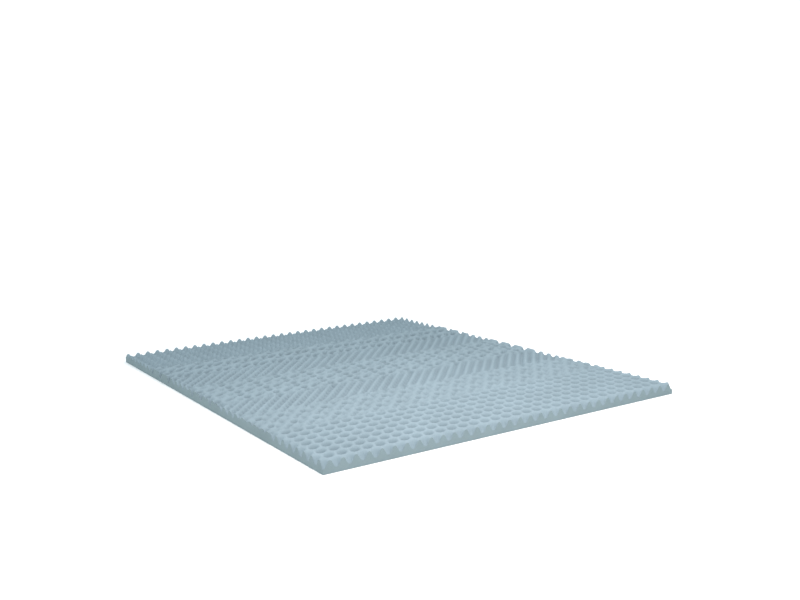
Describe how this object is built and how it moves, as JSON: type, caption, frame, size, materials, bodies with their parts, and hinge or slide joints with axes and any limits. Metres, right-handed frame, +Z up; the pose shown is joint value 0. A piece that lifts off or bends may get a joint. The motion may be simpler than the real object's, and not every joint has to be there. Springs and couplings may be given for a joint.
{
  "type": "mattress topper",
  "caption": "Convoluted foam mattress topper with its cut face up, profiled in cross bands that change from small hollows to broad pads.",
  "frame": {"origin": "middle of the flat underside", "axes": "+X across the bed, +Y along the bed towards the head end, +Z up out of the cut face"},
  "size_m": [1.6, 2, 0.045],
  "materials": {
    "foam": "matte open-cell foam, pale grey-blue"
  },
  "bodies": {
    "root": {"foam_slab": "foam"}
  },
  "joints": []
}
